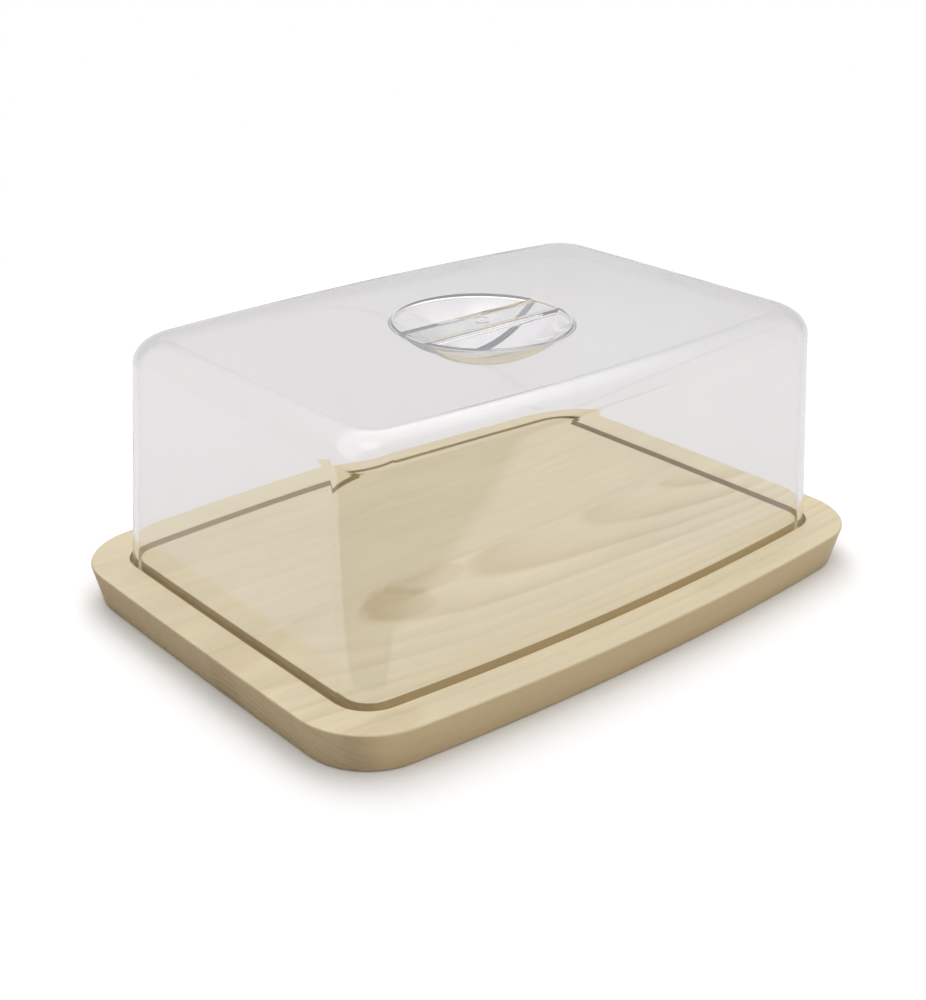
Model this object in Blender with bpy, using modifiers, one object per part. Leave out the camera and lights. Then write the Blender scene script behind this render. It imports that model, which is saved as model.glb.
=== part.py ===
"""Cheese board with a clear dome.

Two edge-glued beech staves make a flat board with a groove near its rim. A one-piece moulded
dome stands in the groove and lifts straight off. Its grip is a round recess in the top plate,
which a bar, hollow from below, divides into two finger pockets.

Units are metres. The origin is at the centre of the board's underside, +X runs along the
board, +Y to its back and +Z up.
"""

import math

import bmesh
import bpy

# Board
BOARD_LENGTH = 0.300
BOARD_WIDTH = 0.218
BOARD_THICKNESS = 0.0175
BOARD_CORNER_RADIUS = 0.033
BOARD_SIDE_BOW = 0.0052
BOARD_END_BOW = 0.0004
BOARD_UNDERCUT = 0.0042
ARRIS_RADIUS = 0.0008
JOINT_Y = -0.0115
GLUE_GAP = 0.0003

# Groove
GROOVE_RIM = 0.0165
GROOVE_WIDTH = 0.005
GROOVE_DEPTH = 0.005

# Dome
DOME_WALL = 0.0022
DOME_SIDE_CLEARANCE = 0.001
DOME_SEAT_GAP = 0.0003
DOME_RISE = 0.1003
DOME_DRAFT = 0.0047
DOME_TOP_CORNER_RADIUS = 0.017
DOME_PLATE_CORNER_RADIUS = 0.012
DOME_TOP_FILLET = 0.0123

# Grip
BOWL_RADIUS = 0.0378
BOWL_DEPTH = 0.0165
BAR_WIDTH = 0.018
BAR_DRAFT = 0.0006

# Mesh fineness and how far cutters run past what they cut
CORNER_STEPS = 10
SIDE_STEPS = 10
END_STEPS = 2
FILLET_STEPS = 7
BOWL_TURN_STEPS = 64
BOWL_PROFILE_STEPS = 8
SLOT_END_STEPS = 7
MERGE_DISTANCE = 0.00001
SHARP_ANGLE = math.radians(30)
BOWL_RUN_OUT = 0.002
CUT_MARGIN = 0.01

# Worked out from the sizes above
DOME_INSET = GROOVE_RIM + DOME_SIDE_CLEARANCE
DOME_BASE_Z = BOARD_THICKNESS - GROOVE_DEPTH + DOME_SEAT_GAP
DOME_TOP_Z = BOARD_THICKNESS + DOME_RISE
DOME_BASE_CORNER_RADIUS = BOARD_CORNER_RADIUS - DOME_INSET
BOWL_SPHERE_RADIUS = (BOWL_RADIUS ** 2 + BOWL_DEPTH ** 2) / (2 * BOWL_DEPTH)
BOWL_CENTRE_Z = DOME_TOP_Z - BOWL_DEPTH + BOWL_SPHERE_RADIUS


def new_collection(name):
    """Make a collection in the scene."""
    collection = bpy.data.collections.new(name)
    bpy.context.scene.collection.children.link(collection)
    return collection


def make_material(name, colour, roughness, alpha=1.0, transmission=0.0):
    """Make a Principled material."""
    material = bpy.data.materials.new(name)
    material.use_nodes = True
    shader = material.node_tree.nodes["Principled BSDF"]
    shader.inputs["Base Color"].default_value = (*colour, 1.0)
    shader.inputs["Roughness"].default_value = roughness
    shader.inputs["Metallic"].default_value = 0.0
    shader.inputs["Alpha"].default_value = alpha
    shader.inputs["Transmission Weight"].default_value = transmission
    material.diffuse_color = (*colour, alpha)
    return material


def bowed_side(reach, distance, bow, steps):
    """Points and outward normals along one side at -Y, from -reach to +reach.

    The side is a shallow parabola that stands at distance at its two ends and bow further out
    at its middle.
    """
    side = []
    for step in range(steps + 1):
        x = reach * (2 * step / steps - 1)
        y = -distance - bow * (1 - (x / reach) ** 2)
        slope = 2 * bow * x / reach ** 2
        length = math.hypot(slope, 1)
        side.append((x, y, slope / length, -1 / length))
    return side


def bowed_outline(inset, radius):
    """Outline of the board moved in by inset, with its own corner radius, counter-clockwise."""
    centre_x = BOARD_LENGTH / 2 - BOARD_END_BOW - inset - radius
    centre_y = BOARD_WIDTH / 2 - BOARD_SIDE_BOW - inset - radius
    front = bowed_side(centre_x, centre_y, BOARD_SIDE_BOW, SIDE_STEPS)
    right = bowed_side(centre_y, centre_x, BOARD_END_BOW, END_STEPS)
    sides = [front, [(-y, x, -ny, nx) for x, y, nx, ny in right]]
    sides += [[(-x, -y, -nx, -ny) for x, y, nx, ny in side] for side in sides]
    outline = []
    for side, following in zip(sides, sides[1:] + sides[:1]):
        outline += [(x + radius * nx, y + radius * ny) for x, y, nx, ny in side]
        x, y, nx, ny = side[-1]
        start = math.atan2(ny, nx)
        sweep = (math.atan2(following[0][3], following[0][2]) - start) % (2 * math.pi)
        for step in range(1, CORNER_STEPS):
            angle = start + sweep * step / CORNER_STEPS
            outline.append((x + radius * math.cos(angle), y + radius * math.sin(angle)))
    return outline


def object_from_bmesh(name, mesh_data, collection, smooth=True):
    """Put a bmesh into a new object of the collection."""
    mesh = bpy.data.meshes.new(name)
    bmesh.ops.recalc_face_normals(mesh_data, faces=mesh_data.faces)
    mesh_data.to_mesh(mesh)
    mesh_data.free()
    if smooth:
        mesh.shade_smooth()
    obj = bpy.data.objects.new(name, mesh)
    collection.objects.link(obj)
    return obj


def loft(name, sections, collection):
    """Closed body through sections of equal point count, each given as (outline, z)."""
    body = bmesh.new()
    rings = [[body.verts.new((x, y, z)) for x, y in outline] for outline, z in sections]
    for lower, upper in zip(rings, rings[1:]):
        for index in range(len(lower)):
            after = (index + 1) % len(lower)
            body.faces.new((lower[index], lower[after], upper[after], upper[index]))
    body.faces.new(list(reversed(rings[0])))
    body.faces.new(rings[-1])
    return object_from_bmesh(name, body, collection)


def box(name, low, high, collection):
    """Box between two corners."""
    body = bmesh.new()
    bmesh.ops.create_cube(body, size=1.0)
    for vertex in body.verts:
        for axis in range(3):
            middle = (low[axis] + high[axis]) / 2
            vertex.co[axis] = middle + vertex.co[axis] * (high[axis] - low[axis])
    return object_from_bmesh(name, body, collection, smooth=False)


def turned(name, profile, collection):
    """Body turned about Z from a profile of (radius, z), which runs down its outer side."""
    mesh = bpy.data.meshes.new(name)
    mesh.from_pydata([(radius, 0, z) for radius, z in profile],
                     [(index, index + 1) for index in range(len(profile) - 1)], [])
    obj = bpy.data.objects.new(name, mesh)
    collection.objects.link(obj)
    screw = obj.modifiers.new("turn", "SCREW")
    screw.angle = 2 * math.pi
    screw.steps = BOWL_TURN_STEPS
    screw.render_steps = BOWL_TURN_STEPS
    screw.use_merge_vertices = True
    screw.merge_threshold = MERGE_DISTANCE
    screw.use_smooth_shade = True
    return obj


def boolean(obj, operation, other):
    """Add an exact Boolean modifier."""
    modifier = obj.modifiers.new(f"{operation.lower()} {other.name}", "BOOLEAN")
    modifier.operation = operation
    modifier.solver = "EXACT"
    modifier.object = other


def sharp_edges_group():
    """Geometry nodes that mark each edge sharp or smooth by the angle between its faces."""
    group = bpy.data.node_groups.new("sharp_edges", "GeometryNodeTree")
    group.interface.new_socket("Geometry", in_out="INPUT", socket_type="NodeSocketGeometry")
    group.interface.new_socket("Geometry", in_out="OUTPUT", socket_type="NodeSocketGeometry")
    entry = group.nodes.new("NodeGroupInput")
    result = group.nodes.new("NodeGroupOutput")
    angle = group.nodes.new("GeometryNodeInputMeshEdgeAngle")
    shallow = group.nodes.new("FunctionNodeCompare")
    shallow.operation = "LESS_THAN"
    shallow.inputs["B"].default_value = SHARP_ANGLE
    shade = group.nodes.new("GeometryNodeSetShadeSmooth")
    shade.domain = "EDGE"
    group.links.new(angle.outputs["Unsigned Angle"], shallow.inputs["A"])
    group.links.new(shallow.outputs["Result"], shade.inputs["Shade Smooth"])
    group.links.new(entry.outputs["Geometry"], shade.inputs["Geometry"])
    group.links.new(shade.outputs["Geometry"], result.inputs["Geometry"])
    return group


def mark_sharp_edges(obj, group):
    """Shade the finished piece smooth between its sharp edges."""
    obj.modifiers.new("sharp edges", "NODES").node_group = group


def hide_cutters(collection):
    """Show the cutters as wires and leave them out of renders."""
    for obj in collection.objects:
        obj.hide_render = True
        obj.display_type = "WIRE"


def groove_cutter(collection):
    """Ring that cuts the groove, made from a flat outline with a hole."""
    curve = bpy.data.curves.new("groove_cutter", "CURVE")
    curve.dimensions = "2D"
    curve.fill_mode = "BOTH"
    curve.extrude = (GROOVE_DEPTH + CUT_MARGIN) / 2
    for inset in (GROOVE_RIM, GROOVE_RIM + GROOVE_WIDTH):
        points = bowed_outline(inset, BOARD_CORNER_RADIUS - inset)
        spline = curve.splines.new("POLY")
        spline.points.add(len(points) - 1)
        spline.use_cyclic_u = True
        for point, (x, y) in zip(spline.points, points):
            point.co = (x, y, 0, 1)
    source = bpy.data.objects.new("groove_outline", curve)
    source.location.z = BOARD_THICKNESS - GROOVE_DEPTH + curve.extrude
    collection.objects.link(source)
    bpy.context.view_layer.update()
    evaluated = source.evaluated_get(bpy.context.evaluated_depsgraph_get())
    mesh = bpy.data.meshes.new_from_object(evaluated)
    welded = bmesh.new()
    welded.from_mesh(mesh)
    bmesh.ops.remove_doubles(welded, verts=welded.verts, dist=MERGE_DISTANCE)
    bmesh.ops.recalc_face_normals(welded, faces=welded.faces)
    welded.to_mesh(mesh)
    welded.free()
    cutter = bpy.data.objects.new("groove_cutter", mesh)
    cutter.matrix_world = source.matrix_world
    collection.objects.link(cutter)
    bpy.data.objects.remove(source)
    return cutter


def build_stave(name, low_y, high_y, groove, parts, cutters, material):
    """One stave: the board's blank kept between two Y values, with the groove cut in it."""
    sections = []
    for inset, z in ((BOARD_UNDERCUT, 0.0), (0.0, BOARD_THICKNESS)):
        sections.append((bowed_outline(inset, BOARD_CORNER_RADIUS - inset), z))
    stave = loft(name, sections, parts)
    stave.data.materials.append(material)
    arris = stave.modifiers.new("arris", "BEVEL")
    arris.width = ARRIS_RADIUS
    arris.segments = 2
    arris.limit_method = "ANGLE"
    arris.angle_limit = math.radians(50)
    reach = BOARD_LENGTH / 2 + CUT_MARGIN
    keep = box(f"{name}_length", (-reach, low_y, -CUT_MARGIN),
               (reach, high_y, BOARD_THICKNESS + CUT_MARGIN), cutters)
    boolean(stave, "INTERSECT", keep)
    boolean(stave, "DIFFERENCE", groove)
    return stave


def dome_sections(skin, foot_z):
    """Sections of the dome's skin, moved in by the thickness given, from foot_z to its top."""
    shoulder_z = DOME_TOP_Z - DOME_TOP_FILLET
    sections = []
    for z in (foot_z, shoulder_z):
        share = (z - DOME_BASE_Z) / (shoulder_z - DOME_BASE_Z)
        inset = DOME_INSET + DOME_DRAFT * share + skin
        grown = (DOME_TOP_CORNER_RADIUS - DOME_BASE_CORNER_RADIUS) * share
        sections.append((bowed_outline(inset, DOME_BASE_CORNER_RADIUS + grown - skin), z))
    fillet = DOME_TOP_FILLET - skin
    for step in range(1, FILLET_STEPS + 1):
        angle = math.pi / 2 * step / FILLET_STEPS
        inward = fillet * (1 - math.cos(angle))
        inset = DOME_INSET + DOME_DRAFT + skin + inward
        shoulder_radius = DOME_TOP_CORNER_RADIUS - skin
        grown = (DOME_PLATE_CORNER_RADIUS - shoulder_radius) * inward / fillet
        sections.append((bowed_outline(inset, shoulder_radius + grown),
                         shoulder_z + fillet * math.sin(angle)))
    return sections


def bowl_profile(skin, top_z):
    """Profile of the grip's bowl, a cap of a sphere grown by the wall thickness given.

    The cap ends at the height given and is closed there.
    """
    sphere = BOWL_SPHERE_RADIUS + skin
    reach = math.acos((BOWL_CENTRE_Z - top_z) / sphere)
    profile = [(0.0, top_z)]
    for step in range(BOWL_PROFILE_STEPS):
        angle = reach * (1 - step / BOWL_PROFILE_STEPS)
        profile.append((sphere * math.sin(angle), BOWL_CENTRE_Z - sphere * math.cos(angle)))
    profile.append((0.0, BOWL_CENTRE_Z - sphere))
    return profile


def bar_half_width(z):
    """Half the bar's width at a height, which grows downwards by the bar's draft."""
    return BAR_WIDTH / 2 + BAR_DRAFT * (DOME_TOP_Z - z) / BOWL_DEPTH


def bar_block(collection):
    """Block along X that keeps the bar out of the finger pockets."""
    reach = BOWL_RADIUS + CUT_MARGIN
    sections = []
    for z in (DOME_TOP_Z - BOWL_DEPTH - CUT_MARGIN, DOME_TOP_Z + CUT_MARGIN):
        half = bar_half_width(z)
        sections.append(([(-reach, -half), (reach, -half), (reach, half), (-reach, half)], z))
    return loft("bar", sections, collection)


def slot_outline(half_width):
    """Outline of the bar's hollow: straight along X, with ends that follow the bowl's rim."""
    swing = math.asin(half_width / BOWL_RADIUS)
    right = []
    for step in range(SLOT_END_STEPS + 1):
        angle = swing * (2 * step / SLOT_END_STEPS - 1)
        right.append((BOWL_RADIUS * math.cos(angle), BOWL_RADIUS * math.sin(angle)))
    return right + [(-x, -y) for x, y in right]


def bar_slot(collection):
    """Cutter for the bar's hollow, open below, which leaves the dome's wall all round it."""
    sections = []
    for z in (DOME_TOP_Z - BOWL_DEPTH - CUT_MARGIN, DOME_TOP_Z - DOME_WALL):
        sections.append((slot_outline(bar_half_width(z) - DOME_WALL), z))
    return loft("bar_slot", sections, collection)


def build_dome(parts, cutters, material):
    """The dome: a hollow cover, with a bowl under its plate that two pockets and a slot open."""
    dome = loft("dome", dome_sections(0.0, DOME_BASE_Z), parts)
    dome.data.materials.append(material)
    inside = loft("inside", dome_sections(DOME_WALL, DOME_BASE_Z - CUT_MARGIN), cutters)
    bowl = turned("bowl", bowl_profile(DOME_WALL, DOME_TOP_Z - DOME_WALL / 2), cutters)
    pockets = turned("finger_pockets", bowl_profile(0.0, DOME_TOP_Z + BOWL_RUN_OUT), cutters)
    boolean(pockets, "DIFFERENCE", bar_block(cutters))

    boolean(dome, "DIFFERENCE", inside)
    boolean(dome, "UNION", bowl)
    boolean(dome, "DIFFERENCE", pockets)
    boolean(dome, "DIFFERENCE", bar_slot(cutters))
    return dome


def main():
    """Clear the scene and build the board and its dome."""
    for obj in list(bpy.data.objects):
        bpy.data.objects.remove(obj)
    parts = new_collection("cheese_board_with_dome")
    cutters = new_collection("cutters")
    beech = make_material("beech", (0.66, 0.50, 0.31), 0.55)
    beech_back = make_material("beech_back", (0.64, 0.49, 0.31), 0.55)
    clear = make_material("clear_plastic", (0.93, 0.95, 0.95), 0.02, 0.35, 1.0)

    reach = BOARD_WIDTH / 2 + CUT_MARGIN
    groove = groove_cutter(cutters)
    build_stave("board_stave_front", -reach, JOINT_Y - GLUE_GAP / 2, groove, parts, cutters, beech)
    build_stave("board_stave_back", JOINT_Y + GLUE_GAP / 2, reach, groove, parts, cutters,
                beech_back)
    build_dome(parts, cutters, clear)
    sharp_edges = sharp_edges_group()
    for piece in parts.objects:
        mark_sharp_edges(piece, sharp_edges)
    hide_cutters(cutters)


main()
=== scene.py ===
"""Cheese board with a clear dome: the finished look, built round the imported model.

Two edge-glued beech staves make a flat board with a groove near its rim. A clear moulded dome
stands in the groove, with a round recess in its top that a bar divides into two finger
pockets. The staves and the dome are drawn here with finer curves and rounded edges than the
solids they replace, on the same main sizes.

Units are metres. The origin is at the centre of the board's underside, +X runs along the board
and its grain, +Y to its back and +Z up.
"""

import logging
import math
from dataclasses import dataclass
from enum import Enum

import bmesh
import bpy
from mathutils import Matrix, Vector


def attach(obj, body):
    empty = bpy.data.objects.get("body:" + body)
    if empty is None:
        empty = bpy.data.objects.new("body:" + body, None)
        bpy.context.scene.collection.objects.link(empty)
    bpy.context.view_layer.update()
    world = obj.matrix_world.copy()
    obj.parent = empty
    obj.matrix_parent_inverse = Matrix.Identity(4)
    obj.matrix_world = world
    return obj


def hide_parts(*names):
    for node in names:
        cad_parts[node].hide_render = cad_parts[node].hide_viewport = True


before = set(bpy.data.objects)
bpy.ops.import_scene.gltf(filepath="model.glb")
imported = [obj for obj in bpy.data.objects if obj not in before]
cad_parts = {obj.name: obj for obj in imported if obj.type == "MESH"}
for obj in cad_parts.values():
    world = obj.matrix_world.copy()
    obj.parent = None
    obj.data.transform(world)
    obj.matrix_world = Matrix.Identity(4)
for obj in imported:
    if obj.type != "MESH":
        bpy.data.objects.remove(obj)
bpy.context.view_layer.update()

log = logging.getLogger("cheese_board")

Point = tuple[float, float]
Colour = tuple[float, float, float]
Place = tuple[float, float, float]

MILLIMETRES = 1000.0
OCTAVE_WEIGHT = 0.55
SHARP_ANGLE = 32.0
THICKNESS = 0.0175
# Mesh layer that marks the groove, for the painted shade in it
GROOVE_SHADE_LAYER = "groove"


class Body(Enum):
    """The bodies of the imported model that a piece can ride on."""

    BOARD = "board"
    DOME = "dome"


class Cut(Enum):
    """What one solid does to another."""

    JOIN = "UNION"
    AWAY = "DIFFERENCE"


# Shader graphs


@dataclass(frozen=True)
class Swell:
    """A soft random pattern.

    Its grain is the size of one swell along X, Y and Z, in millimetres. The shift moves it, so
    that two patterns differ, and the detail is how many finer octaves it has.
    """

    grain: Place
    shift: float
    detail: float


class Value:
    """A number that varies over a surface, as a socket that takes part in arithmetic."""

    def __init__(self, graph: "Graph", socket: bpy.types.NodeSocket) -> None:
        """Wrap an output socket.

        Args:
            graph: The graph that the socket belongs to.
            socket: The output that gives the number.
        """
        self.graph = graph
        self.socket = socket

    def math(self, operation: str, *others: "Value | float", first: bool = True) -> "Value":
        """Add one Math node.

        Args:
            operation: The Math node's operation.
            others: The further operands.
            first: Whether this value comes before the others.

        Returns:
            The node's result.
        """
        operands = (self, *others) if first else (*others, self)
        node = self.graph.node("Math", {"operation": operation}, dict(enumerate(operands)))
        return Value(self.graph, node.outputs[0])

    def __add__(self, other: "Value | float") -> "Value":
        """Sum."""
        return self.math("ADD", other)

    def __radd__(self, other: float) -> "Value":
        """Sum with a plain number first."""
        return self.math("ADD", other)

    def __sub__(self, other: "Value | float") -> "Value":
        """Difference."""
        return self.math("SUBTRACT", other)

    def __rsub__(self, other: float) -> "Value":
        """Difference with a plain number first."""
        return self.math("SUBTRACT", other, first=False)

    def __mul__(self, other: "Value | float") -> "Value":
        """Product."""
        return self.math("MULTIPLY", other)

    def __rmul__(self, other: float) -> "Value":
        """Product with a plain number first."""
        return self.math("MULTIPLY", other)

    def __truediv__(self, other: "Value | float") -> "Value":
        """Quotient."""
        return self.math("DIVIDE", other)

    def __pow__(self, other: float) -> "Value":
        """Power."""
        return self.math("POWER", other)

    def root(self) -> "Value":
        """Square root."""
        return self.math("SQRT")

    def size(self) -> "Value":
        """Absolute value."""
        return self.math("ABSOLUTE")

    def squared(self) -> "Value":
        """The value times itself."""
        return self * self

    def swing(self, weight: float) -> "Value":
        """How far the value lies from its middle of 0.5, times a weight."""
        return (self - 0.5) * weight

    def sine(self) -> "Value":
        """Sine of the value in radians."""
        return self.math("SINE")

    def at_least(self, other: "Value | float") -> "Value":
        """The larger of two values."""
        return self.math("MAXIMUM", other)

    def above(self, limit: float) -> "Value":
        """1 where the value is above a limit, and 0 elsewhere."""
        return self.math("GREATER_THAN", limit)

    def rise(self, start: float, end: float) -> "Value":
        """Turn a stretch of the value into a smooth step.

        Args:
            start: Where the step is 0.
            end: Where the step is 1, which may be the lower of the two.

        Returns:
            The step, held between 0 and 1.
        """
        node = self.graph.node(
            "MapRange", {"interpolation_type": "SMOOTHSTEP"},
            {0: self, 1: start, 2: end, 3: 0.0, 4: 1.0})
        return Value(self.graph, node.outputs[0])


class Graph:
    """The node tree of one material or of the world."""

    def __init__(self, owner: bpy.types.Material | bpy.types.World) -> None:
        """Start with an empty tree.

        Args:
            owner: The material or world that the tree belongs to.
        """
        owner.use_nodes = True
        self.tree = owner.node_tree
        self.tree.nodes.clear()

    def node(self, kind: str, settings: dict[str, object] | None = None,
             sockets: dict[int | str, object] | None = None) -> bpy.types.Node:
        """Add a node, with its settings first and then its sockets.

        Args:
            kind: The node's type, without the words ShaderNode.
            settings: Properties by name; stops are a ramp's places and colours.
            sockets: Values, tuples or links by the input's place or name.

        Returns:
            The new node.
        """
        node = self.tree.nodes.new(f"ShaderNode{kind}")
        for name, setting in (settings or {}).items():
            if name == "stops":
                self._set_stops(node.color_ramp.elements, setting)
            else:
                setattr(node, name, setting)
        for key, given in (sockets or {}).items():
            self._feed(node.inputs[key], given)
        return node

    @staticmethod
    def _set_stops(elements: bpy.types.ColorRampElements,
                   stops: list[tuple[float, Colour]]) -> None:
        """Give a colour ramp its stops.

        Args:
            elements: The ramp's stops, of which it has two at first.
            stops: Places and colours, in rising order.
        """
        while len(elements) < len(stops):
            elements.new(1.0)
        for element, (position, colour) in zip(elements, stops):
            element.position = position
            element.color = (*colour, 1.0)

    def _feed(self, socket: bpy.types.NodeSocket, given: object) -> None:
        """Link a socket or set its own value.

        Args:
            socket: The input.
            given: A value or another node's output to link, or a number, colour or vector.
        """
        if isinstance(given, Value):
            given = given.socket
        if isinstance(given, bpy.types.NodeSocket):
            self.tree.links.new(given, socket)
        elif socket.type == "RGBA":
            socket.default_value = (*given, 1.0)
        else:
            socket.default_value = given

    def value(self, node: bpy.types.Node, output: int | str = 0) -> Value:
        """One output of a node as a value."""
        return Value(self, node.outputs[output])

    def place(self) -> bpy.types.NodeSocket:
        """The point of the surface, in millimetres of the board's own frame."""
        point = self.node("TexCoord").outputs["Object"]
        return self.node("VectorMath", {"operation": "SCALE"},
                         {0: point, "Scale": MILLIMETRES}).outputs[0]

    def axes(self, vector: bpy.types.NodeSocket) -> tuple[Value, ...]:
        """A vector's three coordinates."""
        split = self.node("SeparateXYZ", sockets={0: vector})
        return tuple(Value(self, out) for out in split.outputs)

    def noise(self, place: bpy.types.NodeSocket, swell: Swell) -> Value:
        """Soft random variation from 0 to 1.

        Args:
            place: The point in millimetres.
            swell: The pattern.

        Returns:
            The noise.
        """
        finer = tuple(1.0 / size for size in swell.grain)
        scaled = self.node("VectorMath", {"operation": "MULTIPLY_ADD"},
                           {0: place, 1: finer, 2: (swell.shift,) * 3})
        return self.value(self.node("TexNoise", sockets={
            "Vector": scaled.outputs[0], "Scale": 1.0, "Detail": swell.detail,
            "Roughness": OCTAVE_WEIGHT}))

    def mix(self, share: Value | float, low: object, high: object,
            blend: str = "MIX") -> bpy.types.NodeSocket:
        """Mix two colours.

        Args:
            share: How much of the second colour shows.
            low: The first colour, or a link to it.
            high: The second colour, or a link to it.
            blend: The way they are blended.

        Returns:
            The mixed colour.
        """
        node = self.node("Mix", {"data_type": "RGBA", "blend_type": blend},
                         {0: share, 6: low, 7: high})
        return node.outputs[2]

    def finish(self, shader: bpy.types.Node, kind: str = "OutputMaterial") -> None:
        """Send a shader node to the output."""
        self.node(kind, sockets={0: shader.outputs[0]})


# Finishes

FIBRES = Swell((16.0, 0.55, 0.55), 3.0, 3.0)
STREAKS = Swell((70.0, 5.0, 5.0), 7.0, 2.0)
PATCHES = Swell((90.0, 40.0, 40.0), 11.0, 1.0)
FLECKS = Swell((2.6, 0.42, 0.42), 17.0, 1.0)
PORES = Swell((0.5, 0.5, 0.5), 23.0, 2.0)
RING_WANDER = Swell((60.0, 30.0, 30.0), 31.0, 2.0)
RING_STRENGTH = Swell((80.0, 25.0, 25.0), 41.0, 1.0)
BLOTCH_EDGE = Swell((16.0, 9.0, 9.0), 51.0, 1.0)
HAZE = Swell((35.0, 35.0, 35.0), 5.0, 2.0)
RIPPLE = Swell((28.0, 28.0, 28.0), 9.0, 1.0)


@dataclass(frozen=True)
class Pith:
    """Where a stave's growth rings have their centre, in millimetres of the board's frame.

    The centre bends to the side and comes closer to the stave's top along its length. The sway
    is a slow wave in how fast it does so.
    """

    side: float
    side_bend: float
    side_bend_x: float
    depth: float
    rise: float
    rise_x: float
    sway: float
    sway_turn: float = 0.0322
    sway_start: float = 0.064
    wander: float = 3.0


@dataclass(frozen=True)
class Blotch:
    """A brown patch in the wood: its centre, its half length and width, and how dark it is."""

    x: float
    y: float
    long: float
    wide: float
    dark: float


@dataclass(frozen=True)
class Beech:
    """Bare beech, sanded smooth: growth rings, fibres, ray flecks and darker end grain.

    Rings are given by radius and darkness, in millimetres round the pith. A pair named for a
    face or a layer holds the two limits of its smooth step, and a shade says how much light
    a layer takes. The groove's shade is painted shade: it darkens the groove's walls and
    floor, where shade falls.
    """

    name: str
    pith: Pith
    rings: tuple[Point, ...]
    early: Colour
    late: Colour
    contrast: float
    top: float
    blotches: tuple[Blotch, ...] = ()
    end_face: Point = (0.35, 0.8)
    side_face: Point = (0.8, 0.4)
    blotch_rim: Point = (1.0, 0.7)
    flecked: Point = (0.66, 0.76)
    porous: Point = (0.45, 0.7)
    strong_rings: Point = (0.2, 0.7)
    ring_edge: float = 0.006
    ring_fall: float = 1.6
    faintest_ring: float = 0.45
    ragged: float = 0.7
    side_fade: float = 0.65
    fibre_shade: float = 0.13
    streak_shade: float = 0.13
    patch_shade: float = 0.16
    fleck_shade: float = 0.08
    end_shade: float = 0.15
    pore_shade: float = 0.12
    # Painted shade: how much darker the groove's walls and floor are made
    painted_groove_shade: float = 0.065
    side_tint: Colour = (1.0, 0.92, 0.75)
    end_tint: Colour = (0.97, 0.86, 0.66)
    end_tint_share: float = 0.7
    fibre_relief: float = 0.6
    streak_relief: float = 0.2
    fleck_relief: float = 0.3
    pore_relief: float = 0.6
    relief: float = 0.00006
    relief_strength: float = 0.25
    roughness: float = 0.50
    roughness_spread: float = 0.12
    gloss: float = 0.35

    def material(self) -> bpy.types.Material:
        """Build the wood's shader.

        Returns:
            The material.
        """
        material = bpy.data.materials.new(self.name)
        graph = Graph(material)
        place = graph.place()
        along, _, upward = graph.axes(graph.node("TexCoord").outputs["Normal"])
        end = along.size().rise(*self.end_face)
        side = upward.size().rise(*self.side_face) * (1.0 - end)
        fibre, streak, patch = (graph.noise(place, swell) for swell in (FIBRES, STREAKS, PATCHES))
        fleck = graph.noise(place, FLECKS).rise(*self.flecked)
        pores = graph.noise(place, PORES).rise(*self.porous)
        # The groove's mask, which carries the painted shade in it
        groove = graph.value(graph.node("Attribute", {"attribute_name": GROOVE_SHADE_LAYER}), "Fac")

        tone = self._tone(graph, place) * (1.0 - self.side_fade * side)
        shade = 1.0 + fibre.swing(self.fibre_shade) + streak.swing(self.streak_shade)
        shade = (shade + patch.swing(self.patch_shade)) * (1.0 - self.fleck_shade * fleck)
        shade = shade * (1.0 - end * (self.end_shade + self.pore_shade * pores))
        # Painted shade: darken the wood inside the groove, where shade falls on its walls and floor
        shade = shade * (1.0 - self.painted_groove_shade * groove)
        grey = graph.node("CombineXYZ", sockets=dict.fromkeys(range(3), shade)).outputs[0]
        wood = graph.mix(1.0, graph.mix(tone, self.early, self.late), grey, "MULTIPLY")
        for share, tint in ((side, self.side_tint), (end * self.end_tint_share, self.end_tint)):
            wood = graph.mix(share, wood, graph.mix(1.0, wood, tint, "MULTIPLY"))

        height = fibre * self.fibre_relief + streak * self.streak_relief
        height = height - fleck * self.fleck_relief - end * pores * self.pore_relief
        bump = graph.node("Bump", sockets={
            "Strength": self.relief_strength, "Distance": self.relief, "Height": height})
        rough = self.roughness + fibre.swing(self.roughness_spread) + self.roughness_spread * end
        graph.finish(graph.node("BsdfPrincipled", sockets={
            "Base Color": wood, "Roughness": rough, "Normal": bump.outputs[0],
            "Specular IOR Level": self.gloss}))
        return material

    def _tone(self, graph: Graph, place: bpy.types.NodeSocket) -> Value:
        """How dark the rings and the blotches make the wood.

        Args:
            graph: The wood's graph.
            place: The point in millimetres.

        Returns:
            The tone, from 0 where all is early wood.
        """
        x, y, z = graph.axes(place)
        tone = self._ring_tone(graph, place, self._radius(graph, place, x, y, z))
        ragged = graph.noise(place, BLOTCH_EDGE).swing(self.ragged)
        for blotch in self.blotches:
            long, wide = (x - blotch.x) / blotch.long, (y - blotch.y) / blotch.wide
            away = (long.squared() + wide.squared()).root()
            tone = tone + (away + ragged).rise(*self.blotch_rim) * blotch.dark
        return tone

    def _radius(self, graph: Graph, place: bpy.types.NodeSocket,
                x: Value, y: Value, z: Value) -> Value:
        """Distance from the pith, in millimetres.

        Args:
            graph: The wood's graph.
            place: The point in millimetres.
            x: The point's place along the board.
            y: Its place across the board.
            z: Its height.

        Returns:
            The distance.
        """
        pith = self.pith
        wander = graph.noise(place, RING_WANDER).swing(pith.wander)
        side = (x - pith.side_bend_x).squared() * pith.side_bend + pith.side
        sway = (x * pith.sway_turn + pith.sway_start).sine() * pith.sway
        deep = (pith.depth ** 2 - (x * pith.rise + pith.rise_x - sway)).root()
        across = y + wander - side
        return (across.squared() + (deep - (self.top - z)).squared()).root()

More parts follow.
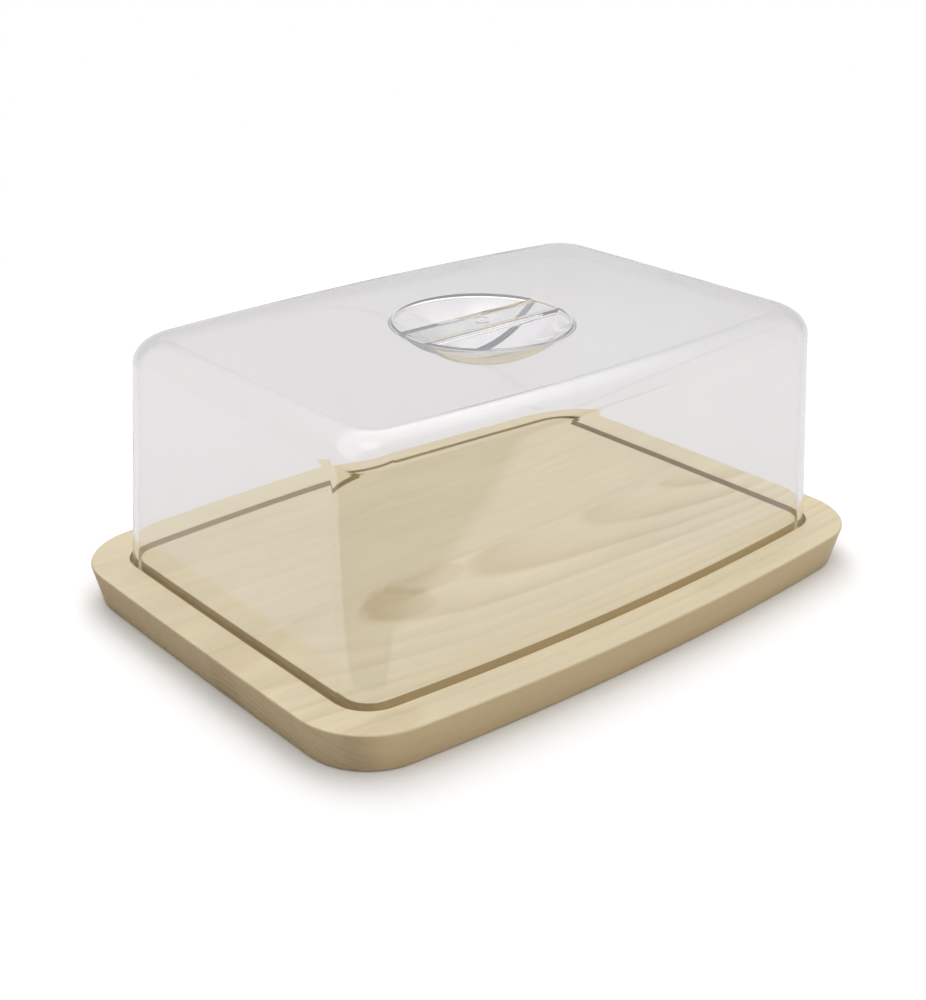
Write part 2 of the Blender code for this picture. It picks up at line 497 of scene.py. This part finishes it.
    def _ring_tone(self, graph: Graph, place: bpy.types.NodeSocket, radius: Value) -> Value:
        """How dark a growth ring is at a distance from the pith.

        Args:
            graph: The wood's graph.
            place: The point in millimetres.
            radius: The distance from the pith.

        Returns:
            The darkness, which grows slowly from a ring's start to its end and then drops.
        """
        first, last = self.rings[0][0], self.rings[-1][0]
        light = (0.0, 0.0, 0.0)
        stops = [(0.0, light)]
        for ring, dark in self.rings[1:-1]:
            spot = (ring - first) / (last - first)
            stops += [(spot - self.ring_edge, (dark, dark, dark)), (spot + self.ring_edge, light)]
        stops.append((1.0, light))
        ramp = graph.node("ValToRGB", {"stops": stops}, {0: (radius - first) / (last - first)})
        strength = graph.noise(place, RING_STRENGTH).rise(*self.strong_rings)
        strength = self.faintest_ring + (1.0 - self.faintest_ring) * strength
        return graph.value(ramp) ** self.ring_fall * strength * self.contrast


@dataclass(frozen=True)
class ClearPlastic:
    """Clear moulded plastic with a high gloss.

    The shade is what it leaves of the light that falls through it. Past its most bounces the
    plastic glows one grey, which is painted light in place of the light that would still come
    through its faces. The gate mark is a small round pip on the plate, whose sizes are in
    millimetres.
    """

    name: str
    colour: Colour
    shade: Colour
    # Painted light: the grey that the plastic glows past its most bounces
    painted_glow: Colour
    ior: float
    most_bounces: float = 8.5
    gate_rim: Point = (3.6, 2.4)
    gate_above: float = 115.0
    gate_depth: float = 2.2
    ripple: float = 0.0004
    ripple_strength: float = 0.10
    haze: float = 0.012
    haze_tint: float = 0.985

    def material(self) -> bpy.types.Material:
        """Build the plastic's shader.

        Returns:
            The material.
        """
        material = bpy.data.materials.new(self.name)
        graph = Graph(material)
        place = graph.place()
        haze = graph.noise(place, HAZE)
        ripple = graph.noise(place, RIPPLE)
        x, y, z = graph.axes(place)
        gate = (x.squared() + y.squared()).root().rise(*self.gate_rim) * z.above(self.gate_above)
        bump = graph.node("Bump", sockets={
            "Strength": self.ripple_strength, "Distance": self.ripple,
            "Height": ripple - gate * self.gate_depth})
        hazy = tuple(channel * self.haze_tint for channel in self.colour)
        shader = graph.node("BsdfPrincipled", sockets={
            "Roughness": haze * self.haze,
            "Normal": bump.outputs[0],
            "Base Color": graph.mix(haze, self.colour, hazy),
            "Transmission Weight": 1.0,
            "IOR": self.ior,
        })
        light = graph.node("LightPath")
        lighting = graph.value(light, "Is Shadow Ray").at_least(
            graph.value(light, "Is Diffuse Ray"))
        through = graph.node("BsdfTransparent", sockets={0: self.shade})
        passing = graph.node("MixShader", sockets={
            0: lighting, 1: shader.outputs[0], 2: through.outputs[0]})
        # Painted light: past the most bounces the plastic glows one grey instead of passing light
        # on
        painted_glow = graph.node("Emission", sockets={0: self.painted_glow})
        graph.finish(graph.node("MixShader", sockets={
            0: graph.value(light, "Ray Depth").above(self.most_bounces),
            1: passing.outputs[0], 2: painted_glow.outputs[0]}))
        return material


# Shapes


def spread(total: float, steps: int) -> list[float]:
    """Even values from 0 to a total, with both ends."""
    return [total * step / steps for step in range(steps + 1)]


def quarter(radius: float, steps: int) -> list[Point]:
    """A rounded edge: how far it lies inward and how far below the top, from side to top."""
    return [(radius * (1 - math.cos(angle)), radius * (1 - math.sin(angle)))
            for angle in spread(math.pi / 2, steps)]


@dataclass(frozen=True)
class Outline:
    """The board's plan: a rectangle with shallow outward bows and rounded corners."""

    length: float = 0.300
    width: float = 0.218
    side_bow: float = 0.0052
    end_bow: float = 0.0004
    corner_steps: int = 20
    side_steps: int = 48
    end_steps: int = 10

    @staticmethod
    def _side(reach: float, distance: float, bow: float,
              steps: int) -> list[tuple[float, float, float, float]]:
        """Points along one bowed side at -Y.

        Args:
            reach: Half the side's length, without its corners.
            distance: How far its ends lie from the middle of the plan.
            bow: How much further out its middle lies.
            steps: How many short straights it has.

        Returns:
            The place and the outward normal of each point.
        """
        side = []
        for step in range(steps + 1):
            x = reach * (2 * step / steps - 1)
            slope = 2 * bow * x / reach ** 2
            run = math.hypot(slope, 1)
            side.append((x, -distance - bow * (1 - (x / reach) ** 2), slope / run, -1 / run))
        return side

    def ring(self, inset: float, radius: float) -> list[Point]:
        """The plan moved in by an inset, counter-clockwise.

        Args:
            inset: How far the sides move in.
            radius: Radius of the corners.

        Returns:
            The points of the closed ring, as many for any inset.
        """
        centre_x = self.length / 2 - self.end_bow - inset - radius
        centre_y = self.width / 2 - self.side_bow - inset - radius
        front = self._side(centre_x, centre_y, self.side_bow, self.side_steps)
        right = self._side(centre_y, centre_x, self.end_bow, self.end_steps)
        sides = [front, [(-y, x, -ny, nx) for x, y, nx, ny in right]]
        sides += [[(-x, -y, -nx, -ny) for x, y, nx, ny in side] for side in sides]
        ring = []
        for side, following in zip(sides, sides[1:] + sides[:1]):
            ring += [(x + radius * nx, y + radius * ny) for x, y, nx, ny in side]
            x, y, nx, ny = side[-1]
            start = math.atan2(ny, nx)
            sweep = (math.atan2(following[0][3], following[0][2]) - start) % (2 * math.pi)
            for swung in spread(sweep, self.corner_steps)[1:-1]:
                angle = start + swung
                ring.append((x + radius * math.cos(angle), y + radius * math.sin(angle)))
        return ring


def rounded(corners: list[tuple[float, float, float]], steps: int = 5) -> list[Point]:
    """Round the corners of a profile.

    Args:
        corners: Each corner as two coordinates and the radius of its rounding.
        steps: How many short straights make one rounding.

    Returns:
        The points of the profile, whose two ends stay as they are.
    """
    profile = [corners[0][:2]]
    for before, corner, after in zip(corners, corners[1:], corners[2:]):
        point = Vector(corner[:2])
        back = (Vector(before[:2]) - point).normalized()
        ahead = (Vector(after[:2]) - point).normalized()
        radius = corner[2]
        half = back.angle(ahead) / 2
        centre = point + (back + ahead).normalized() * (radius / math.sin(half))
        tangent = radius / math.tan(half)
        start = point + back * tangent - centre
        end = point + ahead * tangent - centre
        for angle in spread(-start.angle_signed(end), steps):
            profile.append(tuple(centre + Matrix.Rotation(angle, 2) @ start))
    profile.append(corners[-1][:2])
    return profile


class Bench:
    """Makes meshes and turns them into finished pieces."""

    @staticmethod
    def keep(name: str, mesh_data: bmesh.types.BMesh) -> bpy.types.Object:
        """Put a bmesh into a new object.

        Args:
            name: The object's name.
            mesh_data: The faces, which are freed.

        Returns:
            The object.
        """
        bmesh.ops.recalc_face_normals(mesh_data, faces=mesh_data.faces)
        mesh = bpy.data.meshes.new(name)
        mesh_data.to_mesh(mesh)
        mesh_data.free()
        piece = bpy.data.objects.new(name, mesh)
        bpy.context.scene.collection.objects.link(piece)
        return piece

    @staticmethod
    def skin(mesh_data: bmesh.types.BMesh,
             rings: list[list[Place]]) -> list[list[bmesh.types.BMVert]]:
        """Join rings of points with quads and close both ends.

        Args:
            mesh_data: Takes the faces.
            rings: Closed rings, each with as many points.

        Returns:
            The vertices, ring by ring.
        """
        rows = [[mesh_data.verts.new(point) for point in ring] for ring in rings]
        for low, high in zip(rows, rows[1:]):
            for at, vertex in enumerate(low):
                after = (at + 1) % len(low)
                mesh_data.faces.new((vertex, low[after], high[after], high[at]))
        mesh_data.faces.new(rows[0][::-1])
        mesh_data.faces.new(rows[-1])
        return rows

    @classmethod
    def loft(cls, name: str, rings: list[list[Place]]) -> bpy.types.Object:
        """A closed solid through rings of points.

        Args:
            name: The object's name.
            rings: Closed rings, each with as many points.

        Returns:
            The solid.
        """
        mesh_data = bmesh.new()
        cls.skin(mesh_data, rings)
        return cls.keep(name, mesh_data)

    @classmethod
    def turned(cls, name: str, profile: list[Point], turns: int) -> bpy.types.Object:
        """A solid turned about Z.

        Args:
            name: The object's name.
            profile: Radius and height, from the top of its outer side to the bottom.
            turns: How many facets go round.

        Returns:
            The solid, closed at both ends of the profile.
        """
        spokes = [(spoke + 0.5) * 2 * math.pi / turns for spoke in range(turns)]
        return cls.loft(name, [[(radius * math.cos(angle), radius * math.sin(angle), z)
                                for angle in spokes] for radius, z in profile])

    @staticmethod
    def carve(piece: bpy.types.Object, cut: Cut, other: bpy.types.Object) -> None:
        """Join another solid to a piece or cut it away.

        Args:
            piece: The piece.
            cut: What is done with the other solid.
            other: The other solid.
        """
        modifier = piece.modifiers.new(f"{cut.name} {other.name}", "BOOLEAN")
        modifier.operation = cut.value
        modifier.solver = "EXACT"
        modifier.object = other

    @staticmethod
    def bake(piece: bpy.types.Object, *cutters: bpy.types.Object) -> None:
        """Turn a piece's modifiers into its mesh.

        Args:
            piece: The piece.
            cutters: The solids that the modifiers used, which are removed.
        """
        bpy.context.view_layer.update()
        solid = piece.evaluated_get(bpy.context.evaluated_depsgraph_get())
        mesh = bpy.data.meshes.new_from_object(solid)
        piece.modifiers.clear()
        piece.data = mesh
        for cutter in cutters:
            bpy.data.objects.remove(cutter)

    @classmethod
    def smooth(cls, piece: bpy.types.Object) -> None:
        """Shade a piece smooth between its sharp edges, with the flat faces kept flat.

        Args:
            piece: The piece.
        """
        piece.data.shade_smooth()
        piece.data.set_sharp_from_angle(angle=math.radians(SHARP_ANGLE))
        weighted = piece.modifiers.new("flat faces", "WEIGHTED_NORMAL")
        weighted.mode = "FACE_AREA"
        weighted.weight = 100
        weighted.keep_sharp = True
        cls.bake(piece)

    @staticmethod
    def fit(piece: bpy.types.Object, material: bpy.types.Material, body: Body,
            node: str, slot: str) -> None:
        """Dress a piece and set it in the place of its node.

        Args:
            piece: The finished piece.
            material: Its material.
            body: The body it rides on.
            node: The node that it replaces.
            slot: Not used.
        """
        piece.data.materials.clear()
        piece.data.materials.append(material)
        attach(piece, body.value)
        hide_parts(node)
        log.info("%s: %d faces", piece.name, len(piece.data.polygons))


# The board and its dome


@dataclass
class Board:
    """Two beech staves, glued edge to edge, with a groove for the dome."""

    outline: Outline
    thickness: float = THICKNESS
    corner_radius: float = 0.033
    undercut: float = 0.0042
    arris: float = 0.0008
    foot_arris: float = 0.0005
    joint_y: float = -0.0115
    glue_line: float = 0.00004
    groove_rim: float = 0.0165
    groove_width: float = 0.006
    groove_depth: float = 0.005
    lip: float = 0.00035
    floor_corner: float = 0.0006
    weld: float = 1e-7

    def _profile(self) -> list[Point]:
        """Section of the board, from under it, up its side and over to the inner panel.

        Returns:
            Inset from the rim and height of each point.
        """
        middle = self.outline.width / 4
        top, floor = self.thickness, self.thickness - self.groove_depth
        inner = self.groove_rim + self.groove_width
        profile = rounded([
            (middle, 0.0, 0.0),
            (self.undercut, 0.0, self.foot_arris),
            (0.0, top, self.arris),
            (self.groove_rim, top, self.lip),
            (self.groove_rim, floor, self.floor_corner),
            (inner, floor, self.floor_corner),
            (inner, top, self.lip),
            (middle, top, 0.0),
        ])
        return profile[1:-1]

    def _stave(self, name: str, edge_y: float, side: int) -> bpy.types.Object:
        """One stave of the board.

        Args:
            name: The piece's name.
            edge_y: Where its glued edge is.
            side: 1 keeps what lies behind the edge and -1 what lies before it.

        Returns:
            The piece.
        """
        profile = self._profile()
        rings = []
        for inset, z in profile:
            plan = self.outline.ring(inset, self.corner_radius - inset)
            rings.append([(x, y, z) for x, y in plan])
        mesh_data = bmesh.new()
        groove = mesh_data.verts.layers.float.new(GROOVE_SHADE_LAYER)
        rows = Bench.skin(mesh_data, rings)
        for (inset, z), row in zip(profile, rows):
            # How deep in the groove a point lies, which sets the painted shade there
            deep = min(1.0, (self.thickness - z) / self.lip) if inset > self.groove_rim / 2 else 0.0
            for vertex in row:
                vertex[groove] = deep
        parts = mesh_data.verts[:] + mesh_data.edges[:] + mesh_data.faces[:]
        bmesh.ops.bisect_plane(mesh_data, geom=parts, dist=self.weld, plane_co=(0, edge_y, 0),
                               plane_no=(0, -side, 0), clear_outer=True)
        rim = [edge for edge in mesh_data.edges if edge.is_boundary]
        bmesh.ops.holes_fill(mesh_data, edges=rim, sides=0)
        return Bench.keep(name, mesh_data)

    def build(self, front: Beech, back: Beech) -> None:
        """Make both staves and dress them.

        Args:
            front: Finish of the front stave.
            back: Finish of the back stave.
        """
        half = self.glue_line / 2
        for name, side, finish, node in (
                ("front_stave", -1, front, "board_stave_front"),
                ("back_stave", 1, back, "board_stave_back")):
            stave = self._stave(name, self.joint_y + side * half, side)
            Bench.smooth(stave)
            Bench.fit(stave, finish.material(), Body.BOARD, node, finish.name)


@dataclass
class Dome:
    """The clear cover, with a bowl under its plate that two finger pockets and a slot open."""

    board: Board
    wall: float = 0.0022
    play: float = 0.001
    foot_gap: float = 0.0003
    rise: float = 0.1003
    draft: float = 0.0047
    foot_corner_radius: float = 0.0155
    top_corner_radius: float = 0.017
    plate_corner_radius: float = 0.012
    fillet: float = 0.0123
    corner_fill: float = 0.88
    foot_round: float = 0.0005
    foot_steps: int = 5
    wall_steps: int = 6
    fillet_steps: int = 20
    bowl_radius: float = 0.0378
    bowl_depth: float = 0.0165
    bowl_blend: float = 0.0035
    blend_steps: int = 8
    bowl_steps: int = 40
    bowl_tip: float = 0.0002
    bar_width: float = 0.018
    bar_draft: float = 0.0006
    lip: float = 0.0008
    lip_steps: int = 5
    slot_round: float = 0.0012
    slot_end_steps: int = 8
    slot_turn_steps: int = 5
    edge_steps: int = 6
    turns: int = 180
    run_out: float = 0.01

    @property
    def inset(self) -> float:
        """How far the foot stands in from the board's rim."""
        return self.board.groove_rim + self.play

    @property
    def foot_z(self) -> float:
        """Height of the foot, just above the groove's floor."""
        return self.board.thickness - self.board.groove_depth + self.foot_gap

    @property
    def top_z(self) -> float:
        """Height of the plate's top."""
        return self.board.thickness + self.rise

    def _bowl_curve(self, grown: float, top: float) -> list[Point]:
        """The bowl's side, which is the cap of a sphere.

        Args:
            grown: How far the curve lies outside the bowl.
            top: Height at which it starts.

        Returns:
            Radius and height of each point, down to the bowl's bottom.
        """
        radius = (self.bowl_radius ** 2 + self.bowl_depth ** 2) / (2 * self.bowl_depth)
        centre = self.top_z - self.bowl_depth + radius
        sphere = radius + grown
        reach = math.acos((centre - top) / sphere)
        curve = []
        for step in range(self.bowl_steps):
            angle = reach * (1 - step / self.bowl_steps)
            curve.append((sphere * math.sin(angle), centre - sphere * math.cos(angle)))
        return curve + [(self.bowl_tip, centre - sphere)]

    def _blended(self, grown: float, top: float, radius: float, steps: int,
                 spare: float) -> list[Point]:
        """The bowl's curve, led into the flat above it by an arc.

        Args:
            grown: How far the curve lies outside the bowl.
            top: Height of the flat.
            radius: Radius of the arc.
            steps: How many short straights make the arc.
            spare: The least step inward from the arc's end to the next point.

        Returns:
            The points, from the flat to the bowl's bottom.
        """
        curve = self._bowl_curve(grown, top)
        slope = Vector(curve[1]) - Vector(curve[0])
        turn = math.atan2(-slope.y, -slope.x)
        start = curve[0][0] + radius * math.tan(turn / 2)
        arc = [(start - radius * math.sin(angle), top - radius * (1 - math.cos(angle)))
               for angle in spread(turn, steps)]
        return arc + [point for point in curve if point[0] < arc[-1][0] - spare]

    def _skin(self, grown: float, flare: float) -> list[list[Place]]:
        """Rings of the dome's outer or inner skin, from its foot to its plate.

        Args:
            grown: How far the skin lies inside the outer one.
            flare: How far the foot's edge is rounded, inwards if it is above 0. Below 0 the
                skin also runs out under the foot, as what is cut away.

        Returns:
            The rings.
        """
        round_over = self.fillet - grown * self.corner_fill
        shoulder = self.top_z - grown - round_over
        straight = self.top_z - self.fillet - self.foot_z
        low = self.foot_z + abs(flare)
        rows = [] if flare > 0 else [(flare, self.foot_z - self.run_out)]
        rows += [(math.copysign(outward, flare), self.foot_z + upward)
                 for upward, outward in quarter(abs(flare), self.foot_steps)[:-1]]
        rows += [(0.0, low + upward) for upward in spread(shoulder - low, self.wall_steps)]
        rings = []
        for extra, z in rows:
            share = max(0.0, (z - self.foot_z) / straight)
            corner = self.foot_corner_radius
            corner += (self.top_corner_radius - corner) * share
            move = self.draft * share + grown + extra
            rings.append((self.inset + move, corner - grown * self.corner_fill - extra, z))
        lean = self.draft * (shoulder - self.foot_z) / straight
        for angle in spread(math.pi / 2, self.fillet_steps)[1:]:
            inward = round_over * (1 - math.cos(angle))
            corner = self.top_corner_radius - grown * self.corner_fill
            corner += (self.plate_corner_radius - corner) * inward / round_over
            rings.append((self.inset + lean + grown + inward, corner,
                          shoulder + round_over * math.sin(angle)))
        return [[(x, y, z) for x, y in self.board.outline.ring(inset, radius)]
                for inset, radius, z in rings]

    def _bowl(self) -> bpy.types.Object:
        """The bowl as a solid plug, blended into the plate's underside.

        Returns:
            The plug.
        """
        under = self.top_z - self.wall
        side = self._blended(self.wall, under, self.bowl_blend, self.blend_steps, spare=0.0003)
        sunk = (side[0][0], under + self.wall / 2)
        return Bench.turned("bowl", [sunk, *side], self.turns)

    def _pockets(self) -> bpy.types.Object:
        """What is cut out of the bowl, with rounded edges at the plate and along the bar.

        Returns:
            The cutter.
        """
        side = self._blended(0.0, self.top_z, self.lip, self.lip_steps, spare=0.0001)
        above = (side[0][0], self.top_z + self.run_out)
        pockets = Bench.turned("finger_pockets", [above, *side], self.turns)
        bar = self._bar()
        Bench.carve(pockets, Cut.AWAY, bar)
        Bench.bake(pockets, bar)
        return pockets

    def _bar_half(self, z: float) -> float:
        """Half the bar's width at a height."""
        return self.bar_width / 2 + self.bar_draft * (self.top_z - z) / self.bowl_depth

    def _bar(self) -> bpy.types.Object:
        """Block that keeps the bar out of the pockets, narrower above the rounded edges.

        Returns:
            The block.
        """
        reach = self.bowl_radius + self.run_out
        low = self.top_z - self.bowl_depth - self.run_out
        half = self._bar_half(self.top_z)
        side = [(self._bar_half(low), low)]
        side += [(half - inward, self.top_z - below)
                 for inward, below in quarter(self.lip, self.edge_steps)]
        side.append((half - self.lip, self.top_z + 2 * self.run_out))
        section = side + [(-y, z) for y, z in reversed(side)]
        return Bench.loft("bar", [[(x, y, z) for y, z in section] for x in (-reach, reach)])

    def _slot(self) -> bpy.types.Object:
        """Cutter for the bar's hollow, open below, with a rounded ceiling.

        Returns:
            The cutter.
        """
        low = self.top_z - self.bowl_depth - self.run_out
        ceiling = self.top_z - self.wall
        levels = [(0.0, low)]
        levels += [(inward, ceiling - below)
                   for inward, below in quarter(self.slot_round, self.edge_steps)]
        return Bench.loft("slot", [self._slot_ring(inward, z) for inward, z in levels])

    def _slot_ring(self, inward: float, z: float) -> list[Place]:
        """Plan of the bar's hollow, whose ends follow the bowl's rim.

        Args:
            inward: How far the hollow's sides lie inside its widest plan.
            z: Height of the ring.

        Returns:
            The ring.
        """
        half = self._bar_half(z) - self.wall - inward
        reach = self.bowl_radius - inward
        corner = self.slot_round
        inner = half - corner
        swing = math.asin(inner / (reach - corner))
        centre = Vector(((reach - corner) * math.cos(swing), inner))
        end = [(reach * math.cos(angle), reach * math.sin(angle))
               for angle in (swing * (share - 1) for share in spread(2.0, self.slot_end_steps))]
        turn = [tuple(centre + Vector((corner * math.cos(angle), corner * math.sin(angle))))
                for angle in (swing + more for more in
                              spread(math.pi / 2 - swing, self.slot_turn_steps)[1:])]
        right = [(x, -y) for x, y in reversed(turn)] + end + turn
        return [(x, y, z) for x, y in right + [(-x, -y) for x, y in right]]

    def build(self, finish: ClearPlastic) -> None:
        """Make the dome and dress it.

        Args:
            finish: The dome's finish.
        """
        dome = Bench.loft("clear_dome", self._skin(0.0, self.foot_round))
        inside = Bench.loft("inside", self._skin(self.wall, -self.foot_round))
        bowl, pockets, slot = self._bowl(), self._pockets(), self._slot()
        Bench.carve(dome, Cut.AWAY, inside)
        Bench.carve(dome, Cut.JOIN, bowl)
        Bench.carve(dome, Cut.AWAY, pockets)
        Bench.carve(dome, Cut.AWAY, slot)
        Bench.bake(dome, inside, bowl, pockets, slot)
        Bench.smooth(dome)
        Bench.fit(dome, finish.material(), Body.DOME, "dome", finish.name)


# The studio


@dataclass(frozen=True)
class Softbox:
    """A soft square lamp that isn't itself seen in the dome."""

    name: str
    place: Place
    power: float
    aim: Place = (0.0, 0.0, 0.05)
    size: float = 1.0

    def hang(self) -> None:
        """Put the lamp in the scene."""
        light = bpy.data.lights.new(self.name, "AREA")
        light.size = self.size
        light.energy = self.power
        lamp = bpy.data.objects.new(self.name, light)
        bpy.context.scene.collection.objects.link(lamp)
        lamp.location = self.place
        aim = Vector(self.aim) - Vector(self.place)
        lamp.rotation_euler = aim.to_track_quat("-Z", "Y").to_euler()
        lamp.visible_glossy = False
        lamp.visible_transmission = False


@dataclass(frozen=True)
class Studio:
    """A white sheet that ends before a darker table, in a light tent.

    The sheet has one white for the camera and another for light in and through the dome, and
    shines by itself far from the board. What the dome mirrors of the tent is a plain wall with
    a soft box in it. A pair holds the two limits of a smooth step, in millimetres on the floor
    and as a part of the direction in the tent.
    """

    floor_size: float = 24.0
    floor_z: float = -0.0004
    white: Colour = (1.0, 1.0, 1.0)
    bright: Colour = (0.98, 0.98, 0.98)
    plain: Colour = (0.72, 0.70, 0.718)
    distant: Colour = (0.75, 0.73, 0.748)
    far: Point = (320.0, 620.0)
    table: Colour = (0.13, 0.123, 0.12)
    table_way: Point = (0.625, 0.78)
    table_away: float = 183.5
    table_edge: Point = (8.0, -8.0)
    sky: float = 0.95
    sky_rise: Point = (0.08, 0.72)
    mirrored_sky: float = 0.65
    box_low: Point = (0.45, 0.66)
    box_back: Point = (0.82, 0.52)
    box_front: Point = (-0.45, 0.1)
    box_right: Point = (0.78, 0.58)
    zenith: Point = (0.955, 0.996)
    zenith_light: float = 0.8
    bounces: int = 16

    @staticmethod
    def _flat(graph: Graph, kind: str, colour: Colour) -> bpy.types.NodeSocket:
        """A shader of one colour."""
        return graph.node(kind, sockets={0: colour}).outputs[0]

    def floor(self) -> None:
        """Lay the floor, pure white to the camera and a little less in and through the dome."""
        half = self.floor_size / 2
        mesh_data = bmesh.new()
        corners = [(-half, -half), (half, -half), (half, half), (-half, half)]
        mesh_data.faces.new([mesh_data.verts.new((x, y, self.floor_z)) for x, y in corners])
        floor = Bench.keep("floor", mesh_data)
        material = bpy.data.materials.new("white_sheet")
        graph = Graph(material)
        light = graph.node("LightPath")
        camera = graph.value(light, "Is Camera Ray")
        x, y, _ = graph.axes(graph.place())
        far = (x.squared() + y.squared()).root().rise(*self.far)
        near = graph.node("MixShader", sockets={
            0: camera, 1: self._flat(graph, "BsdfDiffuse", self.plain),
            2: self._flat(graph, "BsdfDiffuse", self.bright)})
        away = graph.node("MixShader", sockets={
            0: camera, 1: self._flat(graph, "Emission", self.distant),
            2: self._flat(graph, "Emission", self.white)})
        sheet = graph.node("MixShader", sockets={0: far, 1: near.outputs[0], 2: away.outputs[0]})
        past = x * self.table_way[0] + y * self.table_way[1] + self.table_away
        mirrored = graph.value(light, "Glossy Depth").above(0.5) * past.rise(*self.table_edge)
        graph.finish(graph.node("MixShader", sockets={
            0: mirrored, 1: sheet.outputs[0],
            2: self._flat(graph, "Emission", self.table)}))
        floor.data.materials.append(material)

    def surround(self) -> None:
        """Light the tent, dark near the horizon, with a plain grey wall in and through the dome."""
        world = bpy.data.worlds.new("surround")
        bpy.context.scene.world = world
        graph = Graph(world)
        across, side, height = graph.axes(graph.node("TexCoord").outputs["Generated"])
        light = graph.node("LightPath")
        dome = graph.value(light, "Is Glossy Ray").at_least(
            graph.value(light, "Is Transmission Ray"))
        lighting = height.rise(*self.sky_rise) * self.sky
        box = height.rise(*self.box_low) * side.rise(*self.box_back) * side.rise(*self.box_front)
        box = box * across.rise(*self.box_right) + height.rise(*self.zenith) * self.zenith_light
        mirrored = box * graph.value(light, "Is Glossy Ray") + self.mirrored_sky
        strength = (lighting * (1.0 - dome) + dome * mirrored).at_least(
            graph.value(light, "Is Camera Ray"))
        sky = graph.node("Background", sockets={0: self.white, 1: strength})
        graph.finish(sky, "OutputWorld")

    def settle(self) -> None:
        """Set the colour transform and how far light is followed through the dome."""
        bpy.context.scene.view_settings.view_transform = "Standard"
        cycles = bpy.context.scene.cycles
        cycles.max_bounces = self.bounces
        cycles.transmission_bounces = self.bounces
        cycles.glossy_bounces = self.bounces
        cycles.transparent_max_bounces = self.bounces


@dataclass(frozen=True)
class Camera:
    """The photograph's point of view."""

    aim: Place = (0.04445, 0.06151, 0.0)
    distance: float = 0.75103
    yaw: float = 0.7207
    pitch: float = 0.4274
    roll: float = 0.0116
    lens: float = 54.32
    sensor: float = 36.0

    def stand(self) -> None:
        """Put the camera in the scene and make it the one in use."""
        ahead = Vector((math.sin(self.yaw) * math.cos(self.pitch),
                        math.cos(self.yaw) * math.cos(self.pitch), -math.sin(self.pitch)))
        level = Vector((math.cos(self.yaw), -math.sin(self.yaw), 0.0))
        upright = level.cross(ahead)
        right = level * math.cos(self.roll) + upright * math.sin(self.roll)
        up = upright * math.cos(self.roll) - level * math.sin(self.roll)
        data = bpy.data.cameras.new("camera")
        data.lens = self.lens
        data.sensor_width = self.sensor
        camera = bpy.data.objects.new("camera", data)
        turn = Matrix((right, up, -ahead)).transposed().to_4x4()
        camera.matrix_world = Matrix.Translation(
            Vector(self.aim) - ahead * self.distance) @ turn
        bpy.context.scene.collection.objects.link(camera)
        bpy.context.scene.camera = camera


FRONT_BEECH = Beech(
    name="beech",
    pith=Pith(side=-27.5, side_bend=0.00035, side_bend_x=-100.0, depth=106.0,
              rise=11.6, rise_x=250.0, sway=110.0),
    rings=((92.0, 0.0), (95.6, 0.9), (98.9, 1.0), (102.8, 1.0), (106.0, 0.95), (109.4, 0.8),
           (112.1, 0.55), (115.2, 0.7), (117.8, 0.35), (119.9, 0.6), (123.2, 0.7),
           (126.0, 0.3), (129.5, 0.55), (133.0, 0.3), (136.4, 0.4), (141.0, 0.0)),
    early=(0.685, 0.59, 0.405),
    late=(0.53, 0.425, 0.25),
    contrast=0.85,
    top=THICKNESS * MILLIMETRES,
    blotches=(
        Blotch(-88.0, -19.0, 34.0, 15.0, 0.20),
        Blotch(-68.0, -27.0, 18.0, 14.0, 0.42),
        Blotch(-44.0, -18.0, 24.0, 9.0, 0.36),
        Blotch(-143.0, -17.0, 26.0, 15.0, 0.30),
        Blotch(-133.0, -97.0, 23.0, 11.0, 0.30),
        Blotch(64.0, -98.0, 34.0, 5.0, 0.18),
    ),
)
BACK_BEECH = Beech(
    name="beech_back",
    pith=Pith(side=-62.0, side_bend=0.0004, side_bend_x=-20.0, depth=92.0,
              rise=1.5, rise_x=0.0, sway=60.0),
    rings=((90.0, 0.0), (97.0, 0.8), (101.5, 0.5), (106.5, 0.9), (110.0, 0.5), (114.0, 0.7),
           (119.0, 0.9), (123.5, 0.4), (127.0, 0.8), (132.0, 0.5), (137.0, 0.8), (143.0, 0.5),
           (150.0, 0.8), (158.0, 0.5), (166.0, 0.8), (180.0, 0.0)),
    early=(0.655, 0.565, 0.385),
    late=(0.58, 0.465, 0.29),
    contrast=0.4,
    top=THICKNESS * MILLIMETRES,
)
CLEAR = ClearPlastic(name="clear_plastic", colour=(0.985, 0.988, 0.988),
                     shade=(0.955, 0.955, 0.955), painted_glow=(0.29, 0.29, 0.315), ior=1.53)

LAMPS = (
    Softbox("overhead", place=(0.15, 0.15, 1.49), power=3.8),
    Softbox("back_right", place=(0.42, 0.90, 1.12), power=6.3),
    Softbox("front", place=(0.15, -0.95, 1.0), power=0.95),
)


def main() -> None:
    """Build the studio, the board and the dome in order."""
    logging.basicConfig(level=logging.INFO, format="%(name)s: %(message)s")
    studio = Studio()
    studio.settle()
    Camera().stand()
    studio.floor()
    studio.surround()
    for lamp in LAMPS:
        lamp.hang()
    board = Board(Outline())
    board.build(FRONT_BEECH, BACK_BEECH)
    Dome(board).build(CLEAR)


if __name__ == "__main__":
    main()
